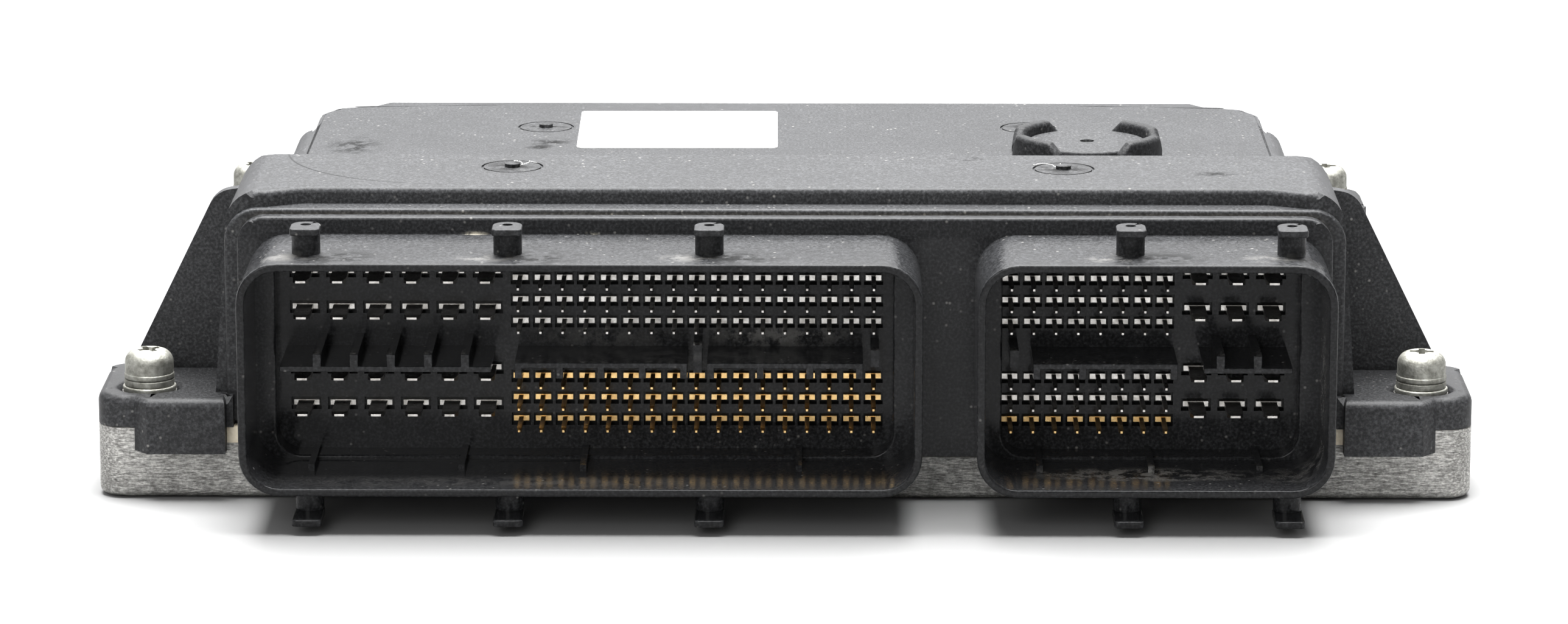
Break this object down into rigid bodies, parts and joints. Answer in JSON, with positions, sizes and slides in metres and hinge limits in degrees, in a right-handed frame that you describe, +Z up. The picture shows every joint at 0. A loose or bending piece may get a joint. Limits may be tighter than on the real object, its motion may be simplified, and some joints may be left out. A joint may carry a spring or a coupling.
{
  "type": "engine control unit",
  "caption": "Flat engine control unit: cast metal tray, black moulded cover with a raised front, and a pin header with a wide and a narrow connector bay.",
  "frame": {"origin": "centre of the flat underside of the base tray, halfway between its front face and the back of its rear lugs", "axes": "+X across the unit towards the narrow bay, -Y out of the connector bays, +Z up from the underside"},
  "size_m": [0.1974, 0.1744, 0.045],
  "materials": {
    "cast_base": "die-cast, brushed on the front, satin",
    "black_cover": "moulded, satin",
    "black_header": "moulded, semi-gloss",
    "tin_plate": "tin plated",
    "gold_plate": "thin gold plating",
    "zinc_plate": "zinc plated",
    "black_cap": "moulded, matte",
    "label_film": "bare printed film, satin",
    "cream_sealant": "cured silicone",
    "white_film": "porous film",
    "board_green": "solder mask",
    "chip_black": "moulded package",
    "can_metal": "drawn can",
    "ferrite_grey": "moulded ferrite",
    "pad_grey": "soft pad"
  },
  "bodies": {
    "root": {"base": "cast_base", "cover": "black_cover", "connector_header": "black_header", "left_signal_pins_tin": "tin_plate", "left_signal_pins_gold": "gold_plate", "left_power_tabs": "tin_plate", "right_signal_pins_tin": "tin_plate", "right_signal_pins_gold": "gold_plate", "right_power_tabs": "tin_plate", "cover_screws": "zinc_plate", "spring_washers": "zinc_plate", "flat_washers": "zinc_plate", "vent_cap": "black_cap", "label": "label_film", "header_sealant": "cream_sealant", "perimeter_seal": "cream_sealant", "vent_membrane": "white_film", "circuit_board": "board_green", "board_screws": "zinc_plate", "microcontroller": "chip_black", "driver_chips": "chip_black", "power_chip": "chip_black", "capacitors": "can_metal", "inductor": "ferrite_grey", "crystal": "can_metal", "thermal_pads": "pad_grey"}
  },
  "joints": []
}
